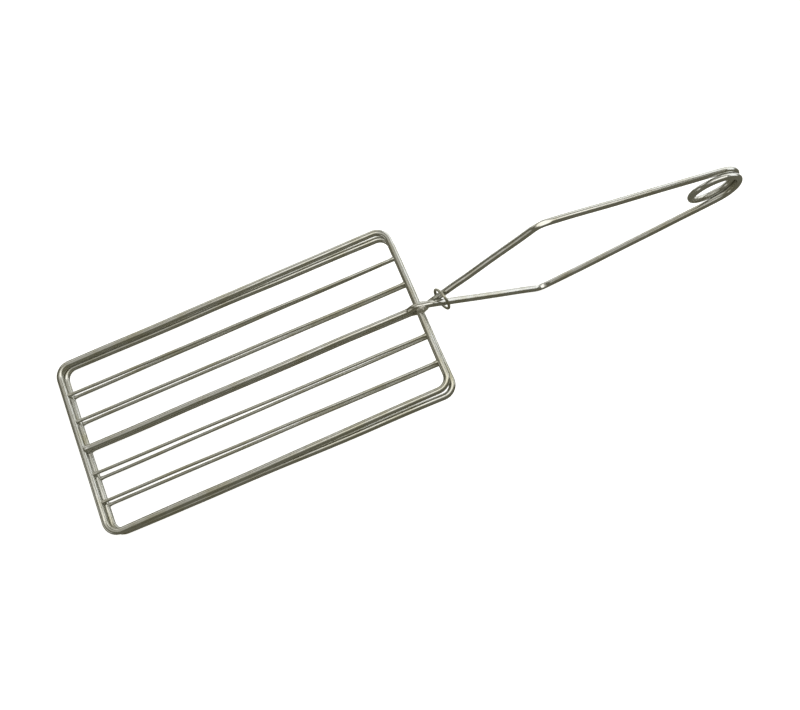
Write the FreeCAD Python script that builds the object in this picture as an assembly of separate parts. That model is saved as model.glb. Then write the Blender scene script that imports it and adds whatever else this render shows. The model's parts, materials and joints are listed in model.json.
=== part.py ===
import FreeCAD, Part
import math
import os

# Spring toast tongs: two flat wire grids on one sprung handle wire, in millimetres.
#
# Everything is first built in the "grid frame": +X from the free end of the grids towards the
# handle, +Y across the bars, +Z from the lower grid to the upper one, with z = 0 in the plane where
# the closed grids meet. The lower jaw is the upper one turned half a turn about X, but for a small
# slip between the two grids and a handle that points slightly aside, as on tongs bent by hand.
# At the end the closed tongs are tilted and moved so that they rest on z = 0 the way they lie on
# a table, on the free end of the lower grid and on the elbow of the lower arm.

# ---- driving dimensions -------------------------------------------------------------------------
GRID_LENGTH = 230.0         # outside of the frame wire, along X
GRID_WIDTH = 116.0          # outside of the frame wire, along Y
WIRE_D = 4.2                # frame wire and handle wire
BAR_D = 2.1                 # thin bars
BAR_PITCH = 18.3            # from bar to bar, the spine of the handle wire being the middle one
BARS_PER_SIDE = 2
CORNER_R = 8.0              # centre line of the frame's corners
JAW_GAP = 0.3               # between the facing frame wires when closed
JAW_SLIP_X = -0.7           # the upper grid sits this far out of line, the lower one as far back
JAW_SLIP_Y = 0.5            # frame and thin bars this far to one side, the lower ones to the other

CROSSING_X = 127.5          # where the two handle wires pass each other
SIDE_GAP = 0.3              # between the two wires where they pass
ELBOW_X = 193.2             # corner of each arm, before rounding
ELBOW_Z = 54.0
ELBOW_Y = 2.3               # to each side, so that the front arms stay clear as they slide past
ELBOW_R = 9.0
NECK_R = 8.0
CREST_R = 10.0
CREST_RISE = 11.5           # length over which the spine climbs onto its end wire
HANDLE_YAW = -0.9           # degrees, by which the hand-bent handle points aside from the grids
WELD_SET = 0.4              # by which welding sinks the spine into the end wire that it crosses

COIL_X = 309.0
COIL_R = 15.2               # centre line of the spring coil
COIL_FULL_TURNS = 1         # besides the part turn that joins the two arms
COIL_PITCH = 5.0
COIL_END_GAP = 0.5          # left open between the coil and the arm of the moving jaw

RING_R = 7.0                # centre line of the loose neck ring
RING_WIRE_D = 1.8
RING_LEAN = 10.0            # degrees, top of the ring towards the handle
RING_YAW = 18.0             # degrees
RING_SHIFT = 0.7            # by which the loose ring sits past the crossing, towards the handle
RING_DROP = 1.0             # and by which it hangs below it

WELD_D = 5.6                # bead that fixes the spine on its end wire
WELD_LENGTH = 6.4

# ---- sizes that follow --------------------------------------------------------------------------
WIRE_R = WIRE_D / 2
END_WIRE_X = GRID_LENGTH / 2 - WIRE_R
SIDE_WIRE_Y = GRID_WIDTH / 2 - WIRE_R
GRID_Z = (WIRE_D + JAW_GAP) / 2
CREST_Z = GRID_Z + WIRE_D - WELD_SET
PASS_Y = (WIRE_D + SIDE_GAP) / 2
X_AXIS = FreeCAD.Vector(1, 0, 0)
Y_AXIS = FreeCAD.Vector(0, 1, 0)
Z_AXIS = FreeCAD.Vector(0, 0, 1)


def point(x, y, z):
    return FreeCAD.Vector(x, y, z)


# ---- the route of the handle wire ---------------------------------------------------------------
def neck_corner():
    """Where the crest over the end wire turns down towards the elbow."""
    slope = ELBOW_Z / (ELBOW_X - CROSSING_X)
    x = CROSSING_X - CREST_Z / slope
    share = (CROSSING_X - x) / (ELBOW_X - x)
    y = (PASS_Y - ELBOW_Y * share) / (1 - share)
    return point(x, -y, CREST_Z)


def arm_slope():
    """Angle in radians by which a rear arm closes in on the X axis, as a tangent to the coil."""
    reach = math.hypot(COIL_X - ELBOW_X, ELBOW_Z)
    return math.atan2(ELBOW_Z, COIL_X - ELBOW_X) - math.asin(COIL_R / reach)


def coil_half_angle():
    """Angle in radians from the X axis to the point where an arm meets the coil."""
    return math.pi / 2 - arm_slope()


def coil_half_width():
    wrapped = 2 * coil_half_angle() / (2 * math.pi) + COIL_FULL_TURNS
    return wrapped * COIL_PITCH / 2


def coil_start(gap):
    """End of the upper jaw's arm, which comes in below the coil, short of it by the given gap."""
    angle = coil_half_angle()
    tangent = point(
        COIL_X + COIL_R * math.cos(angle),
        -coil_half_width(),
        -COIL_R * math.sin(angle),
    )
    elbow = point(ELBOW_X, -ELBOW_Y, -ELBOW_Z)
    back = (elbow - tangent).normalize()
    return tangent + back * gap


def to_handle_line(place, yaw):
    """A place on a straight handle, moved to where a handle that points aside has it."""
    crossing = point(CROSSING_X, 0, 0)
    return crossing + FreeCAD.Rotation(Z_AXIS, yaw).multVec(place - crossing)


def upper_wire_corners(slip_x, yaw, gap):
    crest_start = END_WIRE_X - WIRE_D + slip_x
    return [
        (point(slip_x - END_WIRE_X, 0, GRID_Z), 0),
        (point(crest_start - CREST_RISE, 0, GRID_Z), CREST_R),
        (point(crest_start, 0, CREST_Z), CREST_R),
        (to_handle_line(neck_corner(), yaw), NECK_R),
        (to_handle_line(point(ELBOW_X, -ELBOW_Y, -ELBOW_Z), yaw), ELBOW_R),
        (to_handle_line(coil_start(gap), yaw), 0),
    ]


# ---- wire shapes --------------------------------------------------------------------------------
def corner_arc(before, corner, after, radius):
    """The arc of the given radius that rounds a corner, as its start, middle and end."""
    to_before = (before - corner).normalize()
    to_after = (after - corner).normalize()
    half_angle = to_before.getAngle(to_after) / 2
    reach = radius / math.tan(half_angle)
    inward = (to_before + to_after).normalize()
    centre_distance = radius / math.sin(half_angle)
    middle = corner + inward * (centre_distance - radius)
    return corner + to_before * reach, middle, corner + to_after * reach


def rounded_edges(corners):
    """Straight and arc edges through a list of (corner point, rounding radius)."""
    edges = []
    last = corners[0][0]
    for index in range(1, len(corners) - 1):
        corner, radius = corners[index]
        start, middle, end = corner_arc(corners[index - 1][0], corner, corners[index + 1][0], radius)
        edges.append(Part.LineSegment(last, start).toShape())
        edges.append(Part.Arc(start, middle, end).toShape())
        last = end
    edges.append(Part.LineSegment(last, corners[-1][0]).toShape())
    return edges


def round_wire(edges, diameter):
    """A round wire swept along joined edges."""
    path = Part.Wire(edges)
    first = edges[0]
    start = first.valueAt(first.FirstParameter)
    heading = first.tangentAt(first.FirstParameter)
    section = Part.Wire([Part.Circle(start, heading, diameter / 2).toShape()])
    return path.makePipeShell([section], True, False)


def half_turn(shape):
    """The lower jaw's copy of an upper jaw shape."""
    copy = shape.copy()
    copy.rotate(point(0, 0, 0), X_AXIS, 180)
    return copy


# ---- pieces of the upper jaw --------------------------------------------------------------------
def frame_wire(slip_x):
    """The closed rectangle of thick wire, starting in the middle of the near end wire."""
    near = END_WIRE_X + slip_x
    far = slip_x - END_WIRE_X
    left = JAW_SLIP_Y + SIDE_WIRE_Y
    right = JAW_SLIP_Y - SIDE_WIRE_Y
    outline = [
        (point(near, JAW_SLIP_Y, GRID_Z), 0),
        (point(near, left, GRID_Z), CORNER_R),
        (point(far, left, GRID_Z), CORNER_R),
        (point(far, right, GRID_Z), CORNER_R),
        (point(near, right, GRID_Z), CORNER_R),
        (point(near, JAW_SLIP_Y, GRID_Z), 0),
    ]
    return round_wire(rounded_edges(outline), WIRE_D)


def thin_bar(slip_x, y, frame):
    """A bar between the two end wires, its ends hollowed to sit against them."""
    start = point(slip_x - END_WIRE_X, JAW_SLIP_Y + y, GRID_Z)
    bar = Part.makeCylinder(BAR_D / 2, 2 * END_WIRE_X, start, X_AXIS)
    return bar.cut(frame)


def handle_wire(slip_x, yaw, frame, gap):
    """Spine, crest over the end wire, neck, elbow and arm, as one bent wire."""
    wire = round_wire(rounded_edges(upper_wire_corners(slip_x, yaw, gap)), WIRE_D)
    return wire.cut(frame)


def weld_bead(slip_x, frame, wire):
    """The bead that fills in both sides of the spine where it crosses its end wire."""
    centre = point(END_WIRE_X + slip_x, 0, GRID_Z + WIRE_R)
    half_length = Y_AXIS * (WELD_LENGTH / 2)
    bead = Part.makeCylinder(WELD_D / 2, WELD_LENGTH, centre - half_length, Y_AXIS)
    ends = Part.makeSphere(WELD_LENGTH / 2, centre)
    return bead.common(ends).cut(frame).cut(wire)


def jaw_pieces(slip_x, yaw, gap):
    """One jaw's pieces by name, as the upper jaw lies."""
    frame = frame_wire(slip_x)
    wire = handle_wire(slip_x, yaw, frame, gap)
    pieces = {
        "frame_wire": frame,
        "handle_wire": wire,
        "neck_weld": weld_bead(slip_x, frame, wire),
    }
    steps = [step for step in range(-BARS_PER_SIDE, BARS_PER_SIDE + 1) if step != 0]
    for number, step in enumerate(steps, start=1):
        pieces[f"bar_{number}"] = thin_bar(slip_x, step * BAR_PITCH, frame)
    return pieces


# ---- coil and ring ------------------------------------------------------------------------------
def spring_coil():
    """The turns between the two arms, around an axis along Y."""
    half_angle = coil_half_angle()
    height = 2 * coil_half_width()
    turn_share = 2 * half_angle / (2 * math.pi) + COIL_FULL_TURNS
    pitch = height / turn_share
    helix = Part.makeHelix(pitch, height, COIL_R, 0, True)
    helix.rotate(point(0, 0, 0), X_AXIS, 90)
    helix.translate(point(0, coil_half_width(), 0))
    start = helix.Edges[0].valueAt(helix.Edges[0].FirstParameter)
    first_angle = math.degrees(math.atan2(start.z, start.x))
    helix.rotate(point(0, 0, 0), Y_AXIS, first_angle - math.degrees(half_angle))
    helix.translate(point(COIL_X, 0, 0))
    return round_wire(helix.Edges, WIRE_D)


def neck_ring():
    """The loose round ring that holds the two wires side by side where they cross."""
    ring = Part.makeTorus(RING_R, RING_WIRE_D / 2, point(0, 0, 0), X_AXIS)
    ring.rotate(point(0, 0, 0), Y_AXIS, RING_LEAN)
    ring.rotate(point(0, 0, 0), Z_AXIS, RING_YAW)
    ring.translate(point(CROSSING_X + RING_SHIFT, 0, -RING_DROP))
    return ring


# ---- resting place ------------------------------------------------------------------------------
def elbow_arc_centre():
    """Centre of the lower arm's elbow bend, seen along Y."""
    front = math.atan2(ELBOW_Z, ELBOW_X - CROSSING_X)
    rear = arm_slope()
    distance = ELBOW_R / math.cos((front + rear) / 2)
    lean = (front - rear) / 2
    return ELBOW_X + distance * math.sin(lean), -ELBOW_Z + distance * math.cos(lean)


def rest_tilt():
    """Angle in radians between the grids and the table when the closed tongs lie on it."""
    elbow_x, elbow_z = elbow_arc_centre()
    run = elbow_x + END_WIRE_X + JAW_SLIP_X
    drop = -GRID_Z - elbow_z
    span = math.hypot(run, drop)
    return math.atan2(drop, run) + math.asin(ELBOW_R / span)


def rest_placement(shapes):
    """The move from the grid frame to the closed tongs lying on z = 0, centred over the origin."""
    tilt = FreeCAD.Rotation(Y_AXIS, -math.degrees(rest_tilt()))
    laid = Part.makeCompound(shapes)
    laid.Placement = FreeCAD.Placement(point(0, 0, 0), tilt)
    box = laid.optimalBoundingBox(False)
    offset = point(-box.Center.x, -box.Center.y, -box.ZMin)
    return FreeCAD.Placement(offset, tilt)


def build_nodes():
    nodes = {}
    for name, shape in jaw_pieces(JAW_SLIP_X, HANDLE_YAW, COIL_END_GAP).items():
        nodes[f"upper_{name}"] = shape
    for name, shape in jaw_pieces(-JAW_SLIP_X, -HANDLE_YAW, 0).items():
        nodes[f"lower_{name}"] = half_turn(shape)
    for name, shape in (("spring_coil", spring_coil()), ("neck_ring", neck_ring())):
        shape.rotate(point(CROSSING_X, 0, 0), Z_AXIS, HANDLE_YAW)
        nodes[name] = shape
    return nodes


def main():
    os.makedirs("parts", exist_ok=True)
    nodes = build_nodes()
    placement = rest_placement(list(nodes.values()))
    for name, shape in nodes.items():
        shape.Placement = placement.multiply(shape.Placement)
        shape.exportStep(f"parts/{name}.step")
        print(f"{name}: volume {shape.Volume:.1f} mm3, valid {shape.isValid()}")
    handle_turn = placement.Rotation.multiply(FreeCAD.Rotation(Z_AXIS, HANDLE_YAW))
    front_slope = math.atan2(ELBOW_Z, ELBOW_X - CROSSING_X)
    found = {
        "grid centre": placement.multVec(point(0, 0, 0)),
        "crossing of the wires": placement.multVec(point(CROSSING_X, 0, 0)),
        "centre of the coil": placement.multVec(to_handle_line(point(COIL_X, 0, 0), HANDLE_YAW)),
        "direction of the coil's axis": handle_turn.multVec(Y_AXIS),
        "direction of the lower jaw's front arm": handle_turn.multVec(
            point(math.cos(front_slope), 0, math.sin(front_slope))
        ),
    }
    print(f"rest tilt {math.degrees(rest_tilt()):.4f} degrees")
    for name, place in found.items():
        print(f"{name}: ({place.x:.6f}, {place.y:.6f}, {place.z:.6f})")


main()
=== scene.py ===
import json
import math

import bmesh
import bpy
from mathutils import Matrix, Vector, noise


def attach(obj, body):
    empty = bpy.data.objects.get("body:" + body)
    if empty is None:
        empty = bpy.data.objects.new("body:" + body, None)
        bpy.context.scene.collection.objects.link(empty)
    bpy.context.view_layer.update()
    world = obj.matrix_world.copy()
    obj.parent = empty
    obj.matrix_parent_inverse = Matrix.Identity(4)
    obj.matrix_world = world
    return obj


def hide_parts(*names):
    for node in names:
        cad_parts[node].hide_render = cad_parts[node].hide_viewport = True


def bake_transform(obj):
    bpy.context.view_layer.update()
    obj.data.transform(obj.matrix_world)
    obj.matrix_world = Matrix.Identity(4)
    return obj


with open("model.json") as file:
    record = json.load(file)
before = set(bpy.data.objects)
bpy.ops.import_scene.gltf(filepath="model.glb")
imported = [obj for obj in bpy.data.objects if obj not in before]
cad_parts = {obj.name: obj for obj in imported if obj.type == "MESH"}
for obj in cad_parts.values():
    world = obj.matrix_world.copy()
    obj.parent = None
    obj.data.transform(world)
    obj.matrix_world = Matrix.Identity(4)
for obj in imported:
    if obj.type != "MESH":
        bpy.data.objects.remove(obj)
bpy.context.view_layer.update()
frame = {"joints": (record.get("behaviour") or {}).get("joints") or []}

# Spring toast tongs of bright drawn wire, lying closed on a pale table.
#
# Every wire is swept along its route in the "grid frame", in millimetres: +X from the free end of
# the grids towards the handle, +Y across the bars, +Z from the lower grid to the upper one, z = 0
# where the closed grids meet. TO_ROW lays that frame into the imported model's own frame, in metres.
# The lower jaw is the upper one turned half a turn about X, but for the slip between the grids and
# for the handle, which points slightly aside.

noise.seed_set(7)           # noise_vector takes its offsets from the clock unless it is seeded

# ---- driving dimensions, in millimetres ---------------------------------------------------------
GRID_LENGTH = 230.0
GRID_WIDTH = 116.0
WIRE_D = 4.2
BAR_D = 2.1
BAR_PITCH = 18.3
BARS_PER_SIDE = 2
CORNER_R = 8.0
JAW_GAP = 0.3
JAW_SLIP_X = 0.7            # the upper grid sits this far towards the free end, the lower one back
JAW_SLIP_Y = 0.5            # frame and thin bars this far to one side, the lower ones to the other

CROSSING_X = 127.5
SIDE_GAP = 0.3
ELBOW_X = 193.2
ELBOW_Z = 54.0
ELBOW_Y = 2.3
ELBOW_R = 9.0
NECK_R = 8.0
CREST_R = 4.5
CREST_RISE = 5.0
CREST_LEAD = 1.5            # before the end wire, where the spine has risen clear of it
WELD_SET = 0.4

COIL_X = 309.0
COIL_R = 15.2
COIL_FULL_TURNS = 1
COIL_PITCH = 4.45
COIL_EASE = 14.0            # length over which an arm bends into the coil's slant
HANDLE_YAW = -0.9           # degrees, by which the handle points aside from the grids

RING_R = 7.0
RING_WIRE_D = 1.8
RING_LEAN = 10.0            # degrees, top of the ring towards the handle
RING_YAW = 18.0             # degrees
RING_SHIFT = 0.7            # past the crossing, towards the handle
RING_DROP = 1.0
RING_OVAL = 0.025           # how much longer than wide the hand-closed ring is

WELD_SINK = 0.9             # how deep a butt-welded end is set into the wire that it meets
WELD_FLARE = 0.42           # how far the weld stands out round such an end
WELD_FLARE_LENGTH = 1.1
HEAT_REACH = 4.4            # how far the heat of a weld has tinted the wire
BEAD_AHEAD = 2.4            # of the end wire's centre line, towards the handle
BEAD_ASIDE = -1.9
BEAD_ABOVE = 1.1            # the top of the end wire
BEAD_RADII = (3.7, 3.2, 2.7)

# Flats that the bending tool has left at an elbow: how far past the elbow, half their length, and
# their depth as a share of the wire's radius.
LIT_FLAT = (2.5, 4.0, 0.26)
SHADED_FLAT = (-2.0, 4.0, 0.18)

# Slow drifts of the bent wires out of true: how far, and over what length.
HANDLE_DRIFT = (0.55, 46.0)
FRAME_DRIFT = (0.42, 52.0)
BAR_DRIFT = (0.32, 60.0)
HANDLE_SEED = 3.1
JAW_SEEDS = {"upper": 11.0, "lower": 23.0}
CROSSING_CALM = 14.0        # no drift nearer than this to the crossing, the coil and the neck weld
COIL_CALM = 24.0
NECK_CALM = 9.0

# How far the hand-made grids are out of true: (x, y) at the corners of each frame, and y at the far
# and near ends of each thin bar, from the one at -Y to the one at +Y.
CORNERS_OUT = {
    "upper": {"far": ((-0.7, -1.2), (-0.1, 0.0)), "near": ((0.0, 2.2), (0.0, 0.1))},
    "lower": {"far": ((0.0, -0.4), (0.3, -0.8)), "near": ((0.0, -0.9), (-1.2, -1.7))},
}
BARS_OUT = {
    "upper": ((0.5, -0.5), (0.7, -0.5), (-0.1, -1.1), (-0.4, -1.4)),
    "lower": ((-0.6, -0.1), (-1.4, 0.1), (-0.7, -0.3), (-0.5, 0.6)),
}

# ---- sizes that follow --------------------------------------------------------------------------
MM = 0.001
WIRE_R = WIRE_D / 2
END_WIRE_X = GRID_LENGTH / 2 - WIRE_R
SIDE_WIRE_Y = GRID_WIDTH / 2 - WIRE_R
GRID_Z = (WIRE_D + JAW_GAP) / 2
CREST_Z = GRID_Z + WIRE_D - WELD_SET
PASS_Y = (WIRE_D + SIDE_GAP) / 2
FRONT_SLOPE = math.atan2(ELBOW_Z, ELBOW_X - CROSSING_X)

joints = {joint["name"]: joint for joint in frame["joints"]}
HINGE = Vector(joints["coil_hinge"]["pos_m"])
slide_axis = joints["ring_slide"]["axis"]
ASIDE = math.radians(HANDLE_YAW)
TILT = math.atan2(slide_axis[2], slide_axis[0]) - math.atan2(
    math.sin(FRONT_SLOPE), math.cos(FRONT_SLOPE) * math.cos(ASIDE)
)
CROSSING = Vector((CROSSING_X, 0, 0))
TURNED_ASIDE = (
    Matrix.Translation(CROSSING) @ Matrix.Rotation(ASIDE, 4, "Z") @ Matrix.Translation(-CROSSING)
)
COIL_CENTRE = TURNED_ASIDE @ Vector((COIL_X, 0, 0))
TO_ROW = (
    Matrix.Translation(HINGE)
    @ Matrix.Rotation(-TILT, 4, "Y")
    @ Matrix.Scale(MM, 4)
    @ Matrix.Translation(-COIL_CENTRE)
)
HALF_TURN = Matrix.Rotation(math.pi, 4, "X")
AS_IT_IS = Matrix.Identity(4)


# ---- routes -------------------------------------------------------------------------------------
def rounded(corners, arc_step=math.radians(6)):
    """Points along straight runs and tangent arcs through (corner, rounding radius) pairs."""
    points = [corners[0][0].copy()]
    for index in range(1, len(corners) - 1):
        corner, radius = corners[index]
        to_before = (corners[index - 1][0] - corner).normalized()
        to_after = (corners[index + 1][0] - corner).normalized()
        half_angle = to_before.angle(to_after) / 2
        start = corner + to_before * (radius / math.tan(half_angle))
        inward = (to_before + to_after).normalized()
        centre = corner + inward * (radius / math.sin(half_angle))
        turn = math.pi - 2 * half_angle
        axis = to_after.cross(to_before).normalized()
        steps = max(2, math.ceil(turn / arc_step))
        for step in range(steps + 1):
            spin = Matrix.Rotation(turn * step / steps, 3, axis)
            points.append(centre + spin @ (start - centre))
    points.append(corners[-1][0].copy())
    return points


def evenly(points, spacing):
    """The same route with its points evenly spaced."""
    lengths = [0.0]
    for before, after in zip(points, points[1:]):
        lengths.append(lengths[-1] + (after - before).length)
    count = max(2, round(lengths[-1] / spacing))
    found = []
    place = 0
    for number in range(count + 1):
        target = lengths[-1] * number / count
        while place < len(points) - 2 and lengths[place + 1] < target:
            place += 1
        span = lengths[place + 1] - lengths[place]
        share = (target - lengths[place]) / span if span else 0.0
        found.append(points[place].lerp(points[place + 1], share))
    return found


def wander(points, amount, wavelength, seed, calm=()):
    """Bends a route out of true by slow drifts, none near calm places.

    The drifts stay in the grids' plane, because the closed grids lie only JAW_GAP apart.
    """
    moved = []
    for point in points:
        quiet = 1.0
        for place, reach in calm:
            quiet = min(quiet, max(0.0, (point - place).length / reach - 1.0))
        drift = noise.noise_vector(point / wavelength + Vector((seed, 0, seed)))
        drift.z = 0.0
        moved.append(point + drift * amount * min(1.0, quiet))
    return moved


def out_of_true(jaw, point):
    """Where a jaw's frame really has a point of the true rectangle."""
    along = point.x / (2 * END_WIRE_X) + 0.5
    across = point.y / (2 * SIDE_WIRE_Y) + 0.5
    corners = CORNERS_OUT[jaw]
    far, near = (
        Vector(corners[end][0]).lerp(Vector(corners[end][1]), across) for end in ("far", "near")
    )
    return point + far.lerp(near, along).to_3d()


def neck_corner():
    """Where the crest over the end wire turns down towards the elbow."""
    slope = ELBOW_Z / (ELBOW_X - CROSSING_X)
    x = CROSSING_X - CREST_Z / slope
    share = (CROSSING_X - x) / (ELBOW_X - x)
    y = (PASS_Y - ELBOW_Y * share) / (1 - share)
    return Vector((x, -y, CREST_Z))


def coil_half_angle():
    """Angle in radians from the X axis to the point where an arm meets the coil."""
    reach = math.hypot(COIL_X - ELBOW_X, ELBOW_Z)
    arm_slope = math.atan2(ELBOW_Z, COIL_X - ELBOW_X) - math.asin(COIL_R / reach)
    return math.pi / 2 - arm_slope


def coil_turns():
    return 2 * coil_half_angle() / (2 * math.pi) + COIL_FULL_TURNS


def coil_half_width():
    return coil_turns() * COIL_PITCH / 2


def coil_point(share):
    """A point of a straight handle's coil, from the upper jaw's arm (0) to the lower jaw's (1)."""
    angle = -coil_half_angle() + share * coil_turns() * 2 * math.pi
    return Vector((
        COIL_X + COIL_R * math.cos(angle),
        coil_half_width() * (2 * share - 1),
        COIL_R * math.sin(angle),
    ))


def jaw_route(slip_x, turned):
    """The handle wire of one jaw, from the far end wire to the coil, as the upper jaw lies."""
    crest_start = END_WIRE_X - CREST_LEAD - slip_x
    far_end = WIRE_R - WELD_SINK - END_WIRE_X - slip_x
    return rounded([
        (Vector((far_end, 0, GRID_Z)), 0),
        (Vector((crest_start - CREST_RISE, 0, GRID_Z)), CREST_R),
        (Vector((crest_start, 0, CREST_Z)), CREST_R),
        (turned @ neck_corner(), NECK_R),
        (turned @ Vector((ELBOW_X, -ELBOW_Y, -ELBOW_Z)), ELBOW_R),
        (turned @ coil_point(0), 0),
    ])


def eased_sideways(points, place, reach):
    """Smooths the sideways kink of a route around one of its points."""
    eased = [point.copy() for point in points]
    for _ in range(reach * reach // 3):
        before = [point.y for point in eased]
        for index in range(place - reach, place + reach + 1):
            eased[index].y = (before[index - 1] + before[index] + before[index + 1]) / 3
    return eased


def handle_route(spacing=1.0):
    """The whole handle wire in one run, with the places where the coil starts and ends."""
    upper = evenly(jaw_route(JAW_SLIP_X, TURNED_ASIDE), spacing)
    lower = evenly(jaw_route(-JAW_SLIP_X, TURNED_ASIDE.inverted()), spacing)
    lower = [HALF_TURN @ point for point in lower]
    turns_length = coil_turns() * 2 * math.pi * COIL_R
    steps = round(turns_length / spacing)
    coil = [TURNED_ASIDE @ coil_point(step / steps) for step in range(steps + 1)]
    points = upper[:-1] + coil + lower[::-1][1:]
    coil_start = len(upper) - 1
    coil_end = coil_start + steps
    for place in (coil_start, coil_end):
        points = eased_sideways(points, place, round(COIL_EASE / spacing))
    calm = [
        (CROSSING, CROSSING_CALM),
        (COIL_CENTRE, COIL_CALM),
        (Vector((END_WIRE_X, 0, 0)), NECK_CALM),
    ]
    return wander(points, *HANDLE_DRIFT, HANDLE_SEED, calm), coil_start, coil_end


def grid_outline(slip_x):
    """The centre line of one grid's frame wire, starting and ending at its butt weld."""
    near = END_WIRE_X - slip_x
    far = -END_WIRE_X - slip_x
    left = JAW_SLIP_Y + SIDE_WIRE_Y
    right = JAW_SLIP_Y - SIDE_WIRE_Y
    return rounded([
        (Vector((near, JAW_SLIP_Y, GRID_Z)), 0),
        (Vector((near, left, GRID_Z)), CORNER_R),
        (Vector((far, left, GRID_Z)), CORNER_R),
        (Vector((far, right, GRID_Z)), CORNER_R),
        (Vector((near, right, GRID_Z)), CORNER_R),
        (Vector((near, JAW_SLIP_Y, GRID_Z)), 0),
    ])


# ---- swept wire ---------------------------------------------------------------------------------
def headings(points, closed):
    """Unit tangents along a route."""
    count = len(points)
    found = []
    for index in range(count):
        if closed:
            before, after = points[index - 1], points[(index + 1) % count]
        else:
            before, after = points[max(index - 1, 0)], points[min(index + 1, count - 1)]
        found.append((after - before).normalized())
    return found


def carried_frames(points, first_side, closed=False):
    """Two unit vectors across the route at each point, carried along it without twist."""
    ahead = headings(points, closed)
    side = (first_side - ahead[0] * first_side.dot(ahead[0])).normalized()
    frames = []
    for index, heading in enumerate(ahead):
        if index:
            side = ahead[index - 1].rotation_difference(heading) @ side
            side = (side - heading * side.dot(heading)).normalized()
        frames.append((side, heading.cross(side)))
    return frames


def no_shaping(distance, offset):
    return offset


def wire_mesh(name, points, frames, radius, closed=False, sides=24, shaping=no_shaping, hot=()):
    """A round wire as a closed mesh. Points are in the grid frame and the mesh is in the row frame.

    shaping(distance along the wire, offset from its centre line) gives the offset to use instead.
    hot holds the welds: each vertex keeps in "heat" how near it is to one of them.
    """
    shell = bmesh.new()
    heat = shell.verts.layers.float.new("heat")
    wrap = shell.loops.layers.uv.new("wire")
    rings = []
    distances = []
    travelled = 0.0
    for index, (point, (across, upward)) in enumerate(zip(points, frames)):
        if index:
            travelled += (point - points[index - 1]).length
        distances.append(travelled)
        ring = []
        for side in range(sides):
            angle = 2 * math.pi * side / sides
            offset = (across * math.cos(angle) + upward * math.sin(angle)) * radius
            place = point + shaping(travelled, offset)
            vertex = shell.verts.new(TO_ROW @ place)
            vertex[heat] = warmth(place, hot)
            ring.append(vertex)
        rings.append(ring)
    spans = len(rings) if closed else len(rings) - 1
    distances.append(travelled + (points[0] - points[-1]).length)
    for index in range(spans):
        here, there = rings[index], rings[(index + 1) % len(rings)]
        for side in range(sides):
            other = (side + 1) % sides
            face = shell.faces.new((here[side], here[other], there[other], there[side]))
            face.smooth = True
            corners = ((index, side), (index, side + 1), (index + 1, side + 1), (index + 1, side))
            for loop, (along, around) in zip(face.loops, corners):
                loop[wrap].uv = (distances[along], around / sides)
    if not closed:
        for ring, place in ((rings[0][::-1], points[0]), (rings[-1], points[-1])):
            cap_end(shell, ring, TO_ROW @ place, heat)
    bmesh.ops.recalc_face_normals(shell, faces=shell.faces)
    mesh = bpy.data.meshes.new(name)
    shell.to_mesh(mesh)
    shell.free()
    return linked(name, mesh)


def cap_end(shell, ring, centre, heat):
    """Closes a wire's end with a flat fan whose rim stays a crisp edge."""
    middle = shell.verts.new(centre)
    middle[heat] = ring[0][heat]
    for index, vertex in enumerate(ring):
        other = ring[(index + 1) % len(ring)]
        shell.faces.new((vertex, other, middle))
        shell.edges.get((vertex, other)).smooth = False


def linked(name, mesh):
    piece = bpy.data.objects.new(name, mesh)
    bpy.context.scene.collection.objects.link(piece)
    return piece


def warmth(place, hot):
    """How strongly the nearest weld has tinted a place, from 0 to 1."""
    found = 0.0
    for weld in hot:
        ragged = HEAT_REACH * (1 + 0.5 * noise.noise(place * 0.9))
        found = max(found, math.exp(-((place - weld).length_squared) / (ragged * ragged)))
    return found


# ---- shaping of a wire's surface ----------------------------------------------------------------
def flare(distance, offset, ends):
    """The uneven collar of weld metal round a wire's butt-welded ends."""
    nearest = min(abs(distance - end) for end in ends)
    rise = math.exp(-((nearest / WELD_FLARE_LENGTH) ** 2)) * WELD_FLARE
    lumps = 1 + 0.6 * noise.noise(offset * 1.4 + Vector((0, 0, distance * 0.8)))
    return offset * (1 + rise * lumps / offset.length)


def kept_within(offset, toward, limit):
    """Cuts a wire's surface back where it stands out past a limit towards one side."""
    proud = offset.dot(toward) - limit
    if proud <= 0:
        return offset
    return offset - toward * proud


def pressed(distance, offset, toward, place, reach, depth):
    """A flat that a bending tool has pressed into the side of a wire, at a place along it."""
    strength = math.exp(-(((distance - place) / reach) ** 4))
    return kept_within(offset, toward, offset.length * (1 - depth * strength))


# ---- pieces -------------------------------------------------------------------------------------
def finish_piece(piece, material, body, slot, *nodes):
    """Gives a piece its material and its body, and hides the CAD nodes that it stands for."""
    piece.data.materials.append(material)
    if body:
        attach(piece, body)
    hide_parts(*nodes)
    return piece


def bar_offsets():
    return [step * BAR_PITCH for step in range(-BARS_PER_SIDE, BARS_PER_SIDE + 1) if step]


def bar_welds(slip_x):
    """Where the bars and the spine are welded to the two end wires."""
    welds = []
    for y in bar_offsets() + [0.0]:
        for sign in (-1, 1):
            x = sign * (END_WIRE_X - WIRE_R) - slip_x
            welds.append(Vector((x, JAW_SLIP_Y + y, GRID_Z)))
    return welds


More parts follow.
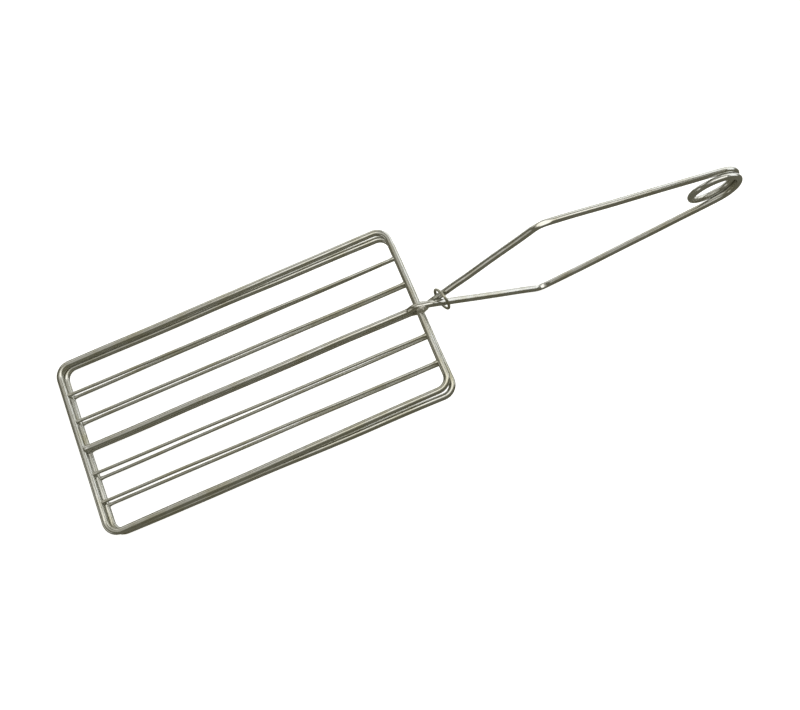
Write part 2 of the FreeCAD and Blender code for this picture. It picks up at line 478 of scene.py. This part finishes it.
def make_jaw(jaw, turn, slip_x, materials):
    """The frame wire, the thin bars and the neck weld of one jaw."""
    seed = JAW_SEEDS[jaw]
    hot = [turn @ weld for weld in bar_welds(slip_x)]
    outline = [out_of_true(jaw, turn @ point) for point in grid_outline(slip_x)]
    outline = wander(evenly(outline, 1.5), *FRAME_DRIFT, seed)[:-1]
    frames = carried_frames(outline, Vector((0, 0, -1)), closed=True)
    outline_wire = wire_mesh(f"{jaw}_grid_outline", outline, frames, WIRE_R, closed=True, hot=hot)
    finish_piece(outline_wire, materials["frame"], f"{jaw}_jaw", "frame_wire", f"{jaw}_frame_wire")

    half_length = END_WIRE_X - WIRE_R + WELD_SINK
    for number, y in enumerate(bar_offsets(), start=1):
        ends = [
            turn @ Vector((sign * half_length - slip_x, JAW_SLIP_Y + y, GRID_Z))
            for sign in (-1, 1)
        ]
        row = round(ends[0].y / BAR_PITCH)
        place = row + BARS_PER_SIDE - (row > 0)
        for end, drift in zip(ends, BARS_OUT[jaw][place]):
            end.x = out_of_true(jaw, end).x
            end.y += drift
        bar = wander(evenly(ends, 1.25), *BAR_DRIFT, seed + number)
        frames = carried_frames(bar, Vector((0, 0, -1)))
        weld_places = (WELD_SINK, 2 * half_length - WELD_SINK)
        piece = wire_mesh(
            f"{jaw}_thin_bar_{number}", bar, frames, BAR_D / 2, sides=16, hot=hot,
            shaping=lambda distance, offset: flare(distance, offset, weld_places),
        )
        finish_piece(piece, materials["bar"], f"{jaw}_jaw", "bar_wire", f"{jaw}_bar_{number}")

    bead = weld_bead(f"{jaw}_neck_bead", turn, slip_x, seed)
    finish_piece(bead, materials["weld"], f"{jaw}_jaw", "weld", f"{jaw}_neck_weld")


def weld_bead(name, turn, slip_x, seed):
    """The lump of weld that fixes the spine on its end wire."""
    bead = bmesh.new()
    bmesh.ops.create_icosphere(bead, subdivisions=5, radius=1.0)
    heat = bead.verts.layers.float.new("heat")
    centre = Vector((
        END_WIRE_X - slip_x + BEAD_AHEAD, BEAD_ASIDE, GRID_Z + WIRE_R + BEAD_ABOVE,
    ))
    radii = Matrix.Diagonal(BEAD_RADII)
    for vertex in bead.verts:
        way = vertex.co.normalized()
        lumps = 1 + 0.16 * noise.noise(way * 1.5 + Vector((seed, 0, 0)))
        lumps += 0.05 * noise.noise(way * 4.5 + Vector((0, seed, 0)))
        place = centre + radii @ way * lumps
        vertex.co = TO_ROW @ (turn @ place)
        vertex[heat] = 0.25 + 0.25 * noise.noise(way * 1.2 + Vector((0, 0, seed)))
    for face in bead.faces:
        face.smooth = True
    mesh = bpy.data.meshes.new(name)
    bead.to_mesh(mesh)
    bead.free()
    return linked(name, mesh)


def make_handle(materials):
    """The two arms with their spines, and the coil between them."""
    route, coil_start, coil_end = handle_route()
    frames = carried_frames(route, Vector((0, 0, -1)))
    spine_ends = [Vector((WIRE_R - END_WIRE_X, 0, sign * GRID_Z)) for sign in (-1, 1)]
    neck = [Vector((END_WIRE_X, 0, sign * CREST_Z)) for sign in (-1, 1)]
    pieces = {
        "upper": (route[:coil_start + 1], frames[:coil_start + 1]),
        "lower": (route[coil_end:][::-1], frames[coil_end:][::-1]),
    }
    for jaw, (points, across) in pieces.items():
        lowest = -1 if jaw == "upper" else 1
        elbow = TURNED_ASIDE @ Vector((ELBOW_X, lowest * ELBOW_Y, lowest * ELBOW_Z))
        elbow_place = nearest_distance(points, elbow)
        lit_side = Vector((0, -0.2, 0.98))
        shaded_side = Vector((0, 0.9, 0.3))
        other_grid = Vector((0, 0, lowest))

        def shaping(distance, offset):
            offset = flare(distance, offset, (WELD_SINK,))
            offset = kept_within(offset, other_grid, WIRE_R + JAW_GAP / 3)
            offset = pressed(distance - elbow_place, offset, lit_side, *LIT_FLAT)
            return pressed(distance - elbow_place, offset, shaded_side, *SHADED_FLAT)

        arm = wire_mesh(
            f"{jaw}_arm_and_spine", points, across, WIRE_R, sides=28,
            shaping=shaping, hot=spine_ends + neck,
        )
        finish_piece(
            arm, materials["handle"], f"{jaw}_jaw", "handle_wire", f"{jaw}_handle_wire"
        )
    coil = wire_mesh(
        "coil_turns", route[coil_start:coil_end + 1], frames[coil_start:coil_end + 1],
        WIRE_R, sides=28,
    )
    finish_piece(coil, materials["handle"], None, "handle_wire", "spring_coil")
    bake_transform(coil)


def nearest_distance(points, place):
    """Distance along a route to its point nearest a place."""
    travelled = 0.0
    best = (math.inf, 0.0)
    for index, point in enumerate(points):
        if index:
            travelled += (point - points[index - 1]).length
        best = min(best, ((point - place).length, travelled))
    return best[1]


def make_ring(material):
    """The loose ring bent from thin wire, its two ends meeting in a butt seam."""
    lean = Matrix.Rotation(math.radians(RING_LEAN), 3, "Y")
    yaw = Matrix.Rotation(math.radians(RING_YAW), 3, "Z")
    centre = Vector((CROSSING_X + RING_SHIFT, 0, -RING_DROP))
    steps = 96
    points = []
    for step in range(steps):
        angle = 2 * math.pi * step / steps
        radius = RING_R * (1 + RING_OVAL * math.cos(2 * angle + 0.6))
        flat = Vector((0, radius * math.sin(angle), -radius * math.cos(angle)))
        points.append(TURNED_ASIDE @ (centre + yaw @ (lean @ flat)))
    frames = carried_frames(points, Vector((1, 0, 0)), closed=True)
    seam = 2 * math.pi * RING_R * 0.37

    def shaping(distance, offset):
        notch = math.exp(-(((distance - seam) / 0.3) ** 2))
        return offset * (1 - 0.3 * notch)

    ring = wire_mesh(
        "loose_neck_ring", points, frames, RING_WIRE_D / 2, closed=True, sides=16, shaping=shaping,
    )
    finish_piece(ring, material, "neck_ring", "ring_wire", "neck_ring")


# ---- materials ----------------------------------------------------------------------------------
class Nodes:
    """Short forms for building one material's node tree."""

    def __init__(self, name):
        self.material = bpy.data.materials.new(name)
        self.material.use_nodes = True
        self.tree = self.material.node_tree
        self.shader = self.tree.nodes["Principled BSDF"]

    def add(self, kind, **settings):
        node = self.tree.nodes.new(kind)
        for key, value in settings.items():
            setattr(node, key, value)
        return node

    def join(self, source, target):
        self.tree.links.new(source, target)

    def math(self, operation, first, second):
        node = self.add("ShaderNodeMath", operation=operation)
        for socket, value in zip(node.inputs, (first, second)):
            if isinstance(value, (int, float)):
                socket.default_value = value
            else:
                self.join(value, socket)
        return node.outputs[0]

    def noise(self, vector, scale, detail):
        node = self.add("ShaderNodeTexNoise")
        node.inputs["Scale"].default_value = scale
        node.inputs["Detail"].default_value = detail
        self.join(vector, node.inputs["Vector"])
        return node.outputs["Fac"]

    def spread(self, value, low, high, to_low, to_high):
        node = self.add("ShaderNodeMapRange")
        for name, number in (
            ("From Min", low), ("From Max", high), ("To Min", to_low), ("To Max", to_high),
        ):
            node.inputs[name].default_value = number
        self.join(value, node.inputs["Value"])
        return node.outputs["Result"]

    def mix(self, factor, first, second):
        node = self.add("ShaderNodeMix", data_type="RGBA")
        colours = [socket for socket in node.inputs if socket.type == "RGBA"]
        for socket, value in zip(colours, (first, second)):
            if isinstance(value, tuple):
                socket.default_value = (*value, 1.0)
            else:
                self.join(value, socket)
        self.join(factor, node.inputs["Factor"])
        return next(socket for socket in node.outputs if socket.type == "RGBA")


def around_wire(nodes, along_scale, around_scale):
    """A vector that runs along the wire and round it without a seam, from the wire's own UVs."""
    uv = nodes.add("ShaderNodeUVMap", uv_map="wire")
    parts = nodes.add("ShaderNodeSeparateXYZ")
    nodes.join(uv.outputs["UV"], parts.inputs["Vector"])
    angle = nodes.math("MULTIPLY", parts.outputs["Y"], 2 * math.pi)
    vector = nodes.add("ShaderNodeCombineXYZ")
    nodes.join(nodes.math("MULTIPLY", parts.outputs["X"], along_scale), vector.inputs["X"])
    for operation, axis in (("COSINE", "Y"), ("SINE", "Z")):
        turned = nodes.math(operation, angle, 0.0)
        nodes.join(nodes.math("MULTIPLY", turned, around_scale), vector.inputs[axis])
    return vector.outputs["Vector"]


HEAT_COLOURS = (
    (0.00, (0.60, 0.58, 0.50)),
    (0.30, (0.56, 0.46, 0.27)),
    (0.55, (0.34, 0.23, 0.14)),
    (0.80, (0.20, 0.19, 0.20)),
    (1.00, (0.30, 0.28, 0.26)),
)


def wire_metal(name, clean, stained, roughness, draw_depth):
    """Drawn stainless wire: fine lines along it, cloudy stains, heat tint near the welds."""
    nodes = Nodes(name)
    fine = nodes.noise(around_wire(nodes, 0.09, 5.0), 1.0, 4.0)
    broad = nodes.noise(around_wire(nodes, 0.03, 1.1), 1.0, 3.0)
    place = nodes.add("ShaderNodeTexCoord").outputs["Object"]
    cloud = nodes.noise(place, 75.0, 5.0)
    specks = nodes.noise(place, 900.0, 2.0)

    clouded = nodes.math("ADD", cloud, nodes.math("MULTIPLY", broad, 0.6))
    stain = nodes.spread(clouded, 0.72, 1.05, 0, 1)
    colour = nodes.mix(stain, clean, stained)
    speck = nodes.spread(specks, 0.66, 0.76, 0.0, 0.55)
    colour = nodes.mix(speck, colour, tuple(part * 0.45 for part in stained))
    heat = nodes.add("ShaderNodeAttribute", attribute_name="heat").outputs["Fac"]
    ramp = nodes.add("ShaderNodeValToRGB")
    stops = ramp.color_ramp.elements
    while len(stops) < len(HEAT_COLOURS):
        stops.new(0.5)
    for stop, (position, shade) in zip(stops, HEAT_COLOURS):
        stop.position = position
        stop.color = (*shade, 1.0)
    nodes.join(heat, ramp.inputs["Fac"])
    colour = nodes.mix(nodes.spread(heat, 0.08, 0.45, 0.0, 0.9), colour, ramp.outputs["Color"])
    nodes.join(colour, nodes.shader.inputs["Base Color"])

    rough = nodes.spread(fine, 0.3, 0.7, roughness - 0.05, roughness + 0.09)
    rough = nodes.math("ADD", rough, nodes.spread(cloud, 0.35, 0.75, -0.03, 0.07))
    rough = nodes.math("ADD", rough, nodes.math("MULTIPLY", heat, 0.22))
    nodes.join(rough, nodes.shader.inputs["Roughness"])

    bump = nodes.add("ShaderNodeBump")
    bump.inputs["Strength"].default_value = 0.35
    bump.inputs["Distance"].default_value = draw_depth * MM
    nodes.join(nodes.math("ADD", fine, nodes.math("MULTIPLY", broad, 2.0)), bump.inputs["Height"])
    nodes.join(bump.outputs["Normal"], nodes.shader.inputs["Normal"])
    nodes.shader.inputs["Metallic"].default_value = 1.0
    return nodes.material


def weld_metal():
    """Bright, lumpy, slightly crusted weld metal."""
    nodes = Nodes("neck_weld_metal")
    place = nodes.add("ShaderNodeTexCoord").outputs["Object"]
    lumps = nodes.noise(place, 520.0, 5.0)
    crust = nodes.noise(place, 1500.0, 3.0)
    colour = nodes.mix(
        nodes.spread(lumps, 0.4, 0.7, 0.0, 1.0), (0.88, 0.87, 0.83), (0.70, 0.68, 0.60)
    )
    nodes.join(colour, nodes.shader.inputs["Base Color"])
    nodes.join(nodes.spread(crust, 0.35, 0.65, 0.22, 0.40), nodes.shader.inputs["Roughness"])
    bump = nodes.add("ShaderNodeBump")
    bump.inputs["Strength"].default_value = 0.5
    bump.inputs["Distance"].default_value = 0.12 * MM
    nodes.join(lumps, bump.inputs["Height"])
    nodes.join(bump.outputs["Normal"], nodes.shader.inputs["Normal"])
    nodes.shader.inputs["Metallic"].default_value = 1.0
    return nodes.material


# Each wire's clean colour, stained colour, roughness and depth of its drawing lines in millimetres.
WIRE_METALS = {
    # The frame and thin bar colours are set darker than the handle's as painted shade: the grids
    # mirror the table where their own shadow falls.
    "frame": ("frame_wire_painted_shade_metal", (0.68, 0.68, 0.64), (0.52, 0.50, 0.38), 0.19, 0.020),
    "handle": ("handle_wire_metal", (0.70, 0.70, 0.67), (0.55, 0.53, 0.43), 0.17, 0.014),
    "bar": ("thin_bar_painted_shade_metal", (0.62, 0.62, 0.57), (0.47, 0.45, 0.33), 0.23, 0.012),
    "ring": ("neck_ring_metal", (0.56, 0.55, 0.46), (0.38, 0.36, 0.25), 0.27, 0.010),
}


def make_materials():
    materials = {kind: wire_metal(*look) for kind, look in WIRE_METALS.items()}
    materials["weld"] = weld_metal()
    return materials


# ---- studio -------------------------------------------------------------------------------------
FLOOR_SIZE = 12.0
CAMERA_AIM = Vector((-0.0088, -0.0126, 0.0))
CAMERA_AZIMUTH = math.radians(28.08)    # turned from looking along +Y towards +X
CAMERA_ELEVATION = math.radians(72.76)
CAMERA_ROLL = math.radians(6.44)
CAMERA_DISTANCE = 0.6863
LENS = 47.40                            # on a sensor 36 mm wide


def make_camera():
    data = bpy.data.cameras.new("studio_camera")
    data.lens = LENS
    data.sensor_width = 36.0
    data.clip_start = 0.01
    data.clip_end = 50.0
    camera = bpy.data.objects.new("studio_camera", data)
    bpy.context.scene.collection.objects.link(camera)
    forward = Vector((
        math.cos(CAMERA_ELEVATION) * math.sin(CAMERA_AZIMUTH),
        math.cos(CAMERA_ELEVATION) * math.cos(CAMERA_AZIMUTH),
        -math.sin(CAMERA_ELEVATION),
    ))
    level = forward.to_track_quat("-Z", "Y").to_matrix().to_4x4()
    roll = Matrix.Rotation(CAMERA_ROLL, 4, "Z")
    camera.matrix_world = Matrix.Translation(CAMERA_AIM - forward * CAMERA_DISTANCE) @ level @ roll
    bpy.context.scene.camera = camera


WARM_WHITE = (1.0, 0.99, 0.97)
COOL_WHITE = (0.96, 0.98, 1.0)


def soft_light(name, place, aim, size, brightness, colour):
    """A rectangular soft box that faces a point and is seen in the wire at the given brightness."""
    data = bpy.data.lights.new(name, "AREA")
    data.shape = "RECTANGLE"
    data.size, data.size_y = size
    data.energy = brightness * math.pi * size[0] * size[1]
    data.color = colour
    light = bpy.data.objects.new(name, data)
    bpy.context.scene.collection.objects.link(light)
    facing = (Vector(aim) - Vector(place)).to_track_quat("-Z", "Y")
    light.matrix_world = Matrix.Translation(place) @ facing.to_matrix().to_4x4()
    return light


def make_lights():
    centre = (0.0, 0.0, 0.04)
    soft_light("overhead", (0.24, -0.02, 1.20), centre, (0.56, 1.5), 1.15, WARM_WHITE)
    soft_light("ceiling", (0.0, 0.1, 1.9), centre, (3.4, 2.6), 0.34, WARM_WHITE)
    soft_light("window", (1.30, 0.60, 0.50), centre, (2.2, 0.95), 1.2, COOL_WHITE)
    soft_light("far_side", (-0.3, 1.45, 0.60), centre, (1.8, 0.9), 0.7, WARM_WHITE)
    soft_light("left_wall", (-1.5, -0.2, 0.16), centre, (1.2, 0.5), 0.6, WARM_WHITE)
    soft_light("lit_table", (0.45, 0.80, -0.32), centre, (1.9, 0.6), 0.95, COOL_WHITE)


def make_floor():
    mesh = bpy.data.meshes.new("table")
    half = FLOOR_SIZE / 2
    corners = [(-half, -half, 0), (half, -half, 0), (half, half, 0), (-half, half, 0)]
    mesh.from_pydata(corners, [], [(0, 1, 2, 3)])
    floor = linked("table", mesh)
    nodes = Nodes("white_table")
    nodes.shader.inputs["Base Color"].default_value = (0.86, 0.86, 0.855, 1.0)
    nodes.shader.inputs["Roughness"].default_value = 0.9
    nodes.shader.inputs["Emission Color"].default_value = (1.0, 1.0, 0.995, 1.0)
    nodes.shader.inputs["Emission Strength"].default_value = 0.85
    floor.data.materials.append(nodes.material)
    floor.visible_glossy = False


def make_surroundings():
    """A white room to look at, which the bright wire mirrors as a dim warm one."""
    world = bpy.data.worlds.new("studio")
    bpy.context.scene.world = world
    world.use_nodes = True
    tree = world.node_tree
    tree.nodes.clear()
    seen = tree.nodes.new("ShaderNodeBackground")
    seen.inputs["Color"].default_value = (1.0, 1.0, 0.995, 1.0)
    seen.inputs["Strength"].default_value = 1.0
    mirrored = tree.nodes.new("ShaderNodeBackground")
    mirrored.inputs["Color"].default_value = (0.150, 0.146, 0.110, 1.0)
    mirrored.inputs["Strength"].default_value = 1.0
    rays = tree.nodes.new("ShaderNodeLightPath")
    choice = tree.nodes.new("ShaderNodeMixShader")
    output = tree.nodes.new("ShaderNodeOutputWorld")
    tree.links.new(rays.outputs["Is Camera Ray"], choice.inputs["Fac"])
    tree.links.new(mirrored.outputs["Background"], choice.inputs[1])
    tree.links.new(seen.outputs["Background"], choice.inputs[2])
    tree.links.new(choice.outputs["Shader"], output.inputs["Surface"])


def make_studio():
    make_camera()
    make_lights()
    make_floor()
    make_surroundings()
    settings = bpy.context.scene.view_settings
    settings.view_transform = "Standard"
    settings.look = "None"


def main():
    make_studio()
    materials = make_materials()
    make_jaw("upper", AS_IT_IS, JAW_SLIP_X, materials)
    make_jaw("lower", HALF_TURN, -JAW_SLIP_X, materials)
    make_handle(materials)
    make_ring(materials["ring"])


main()
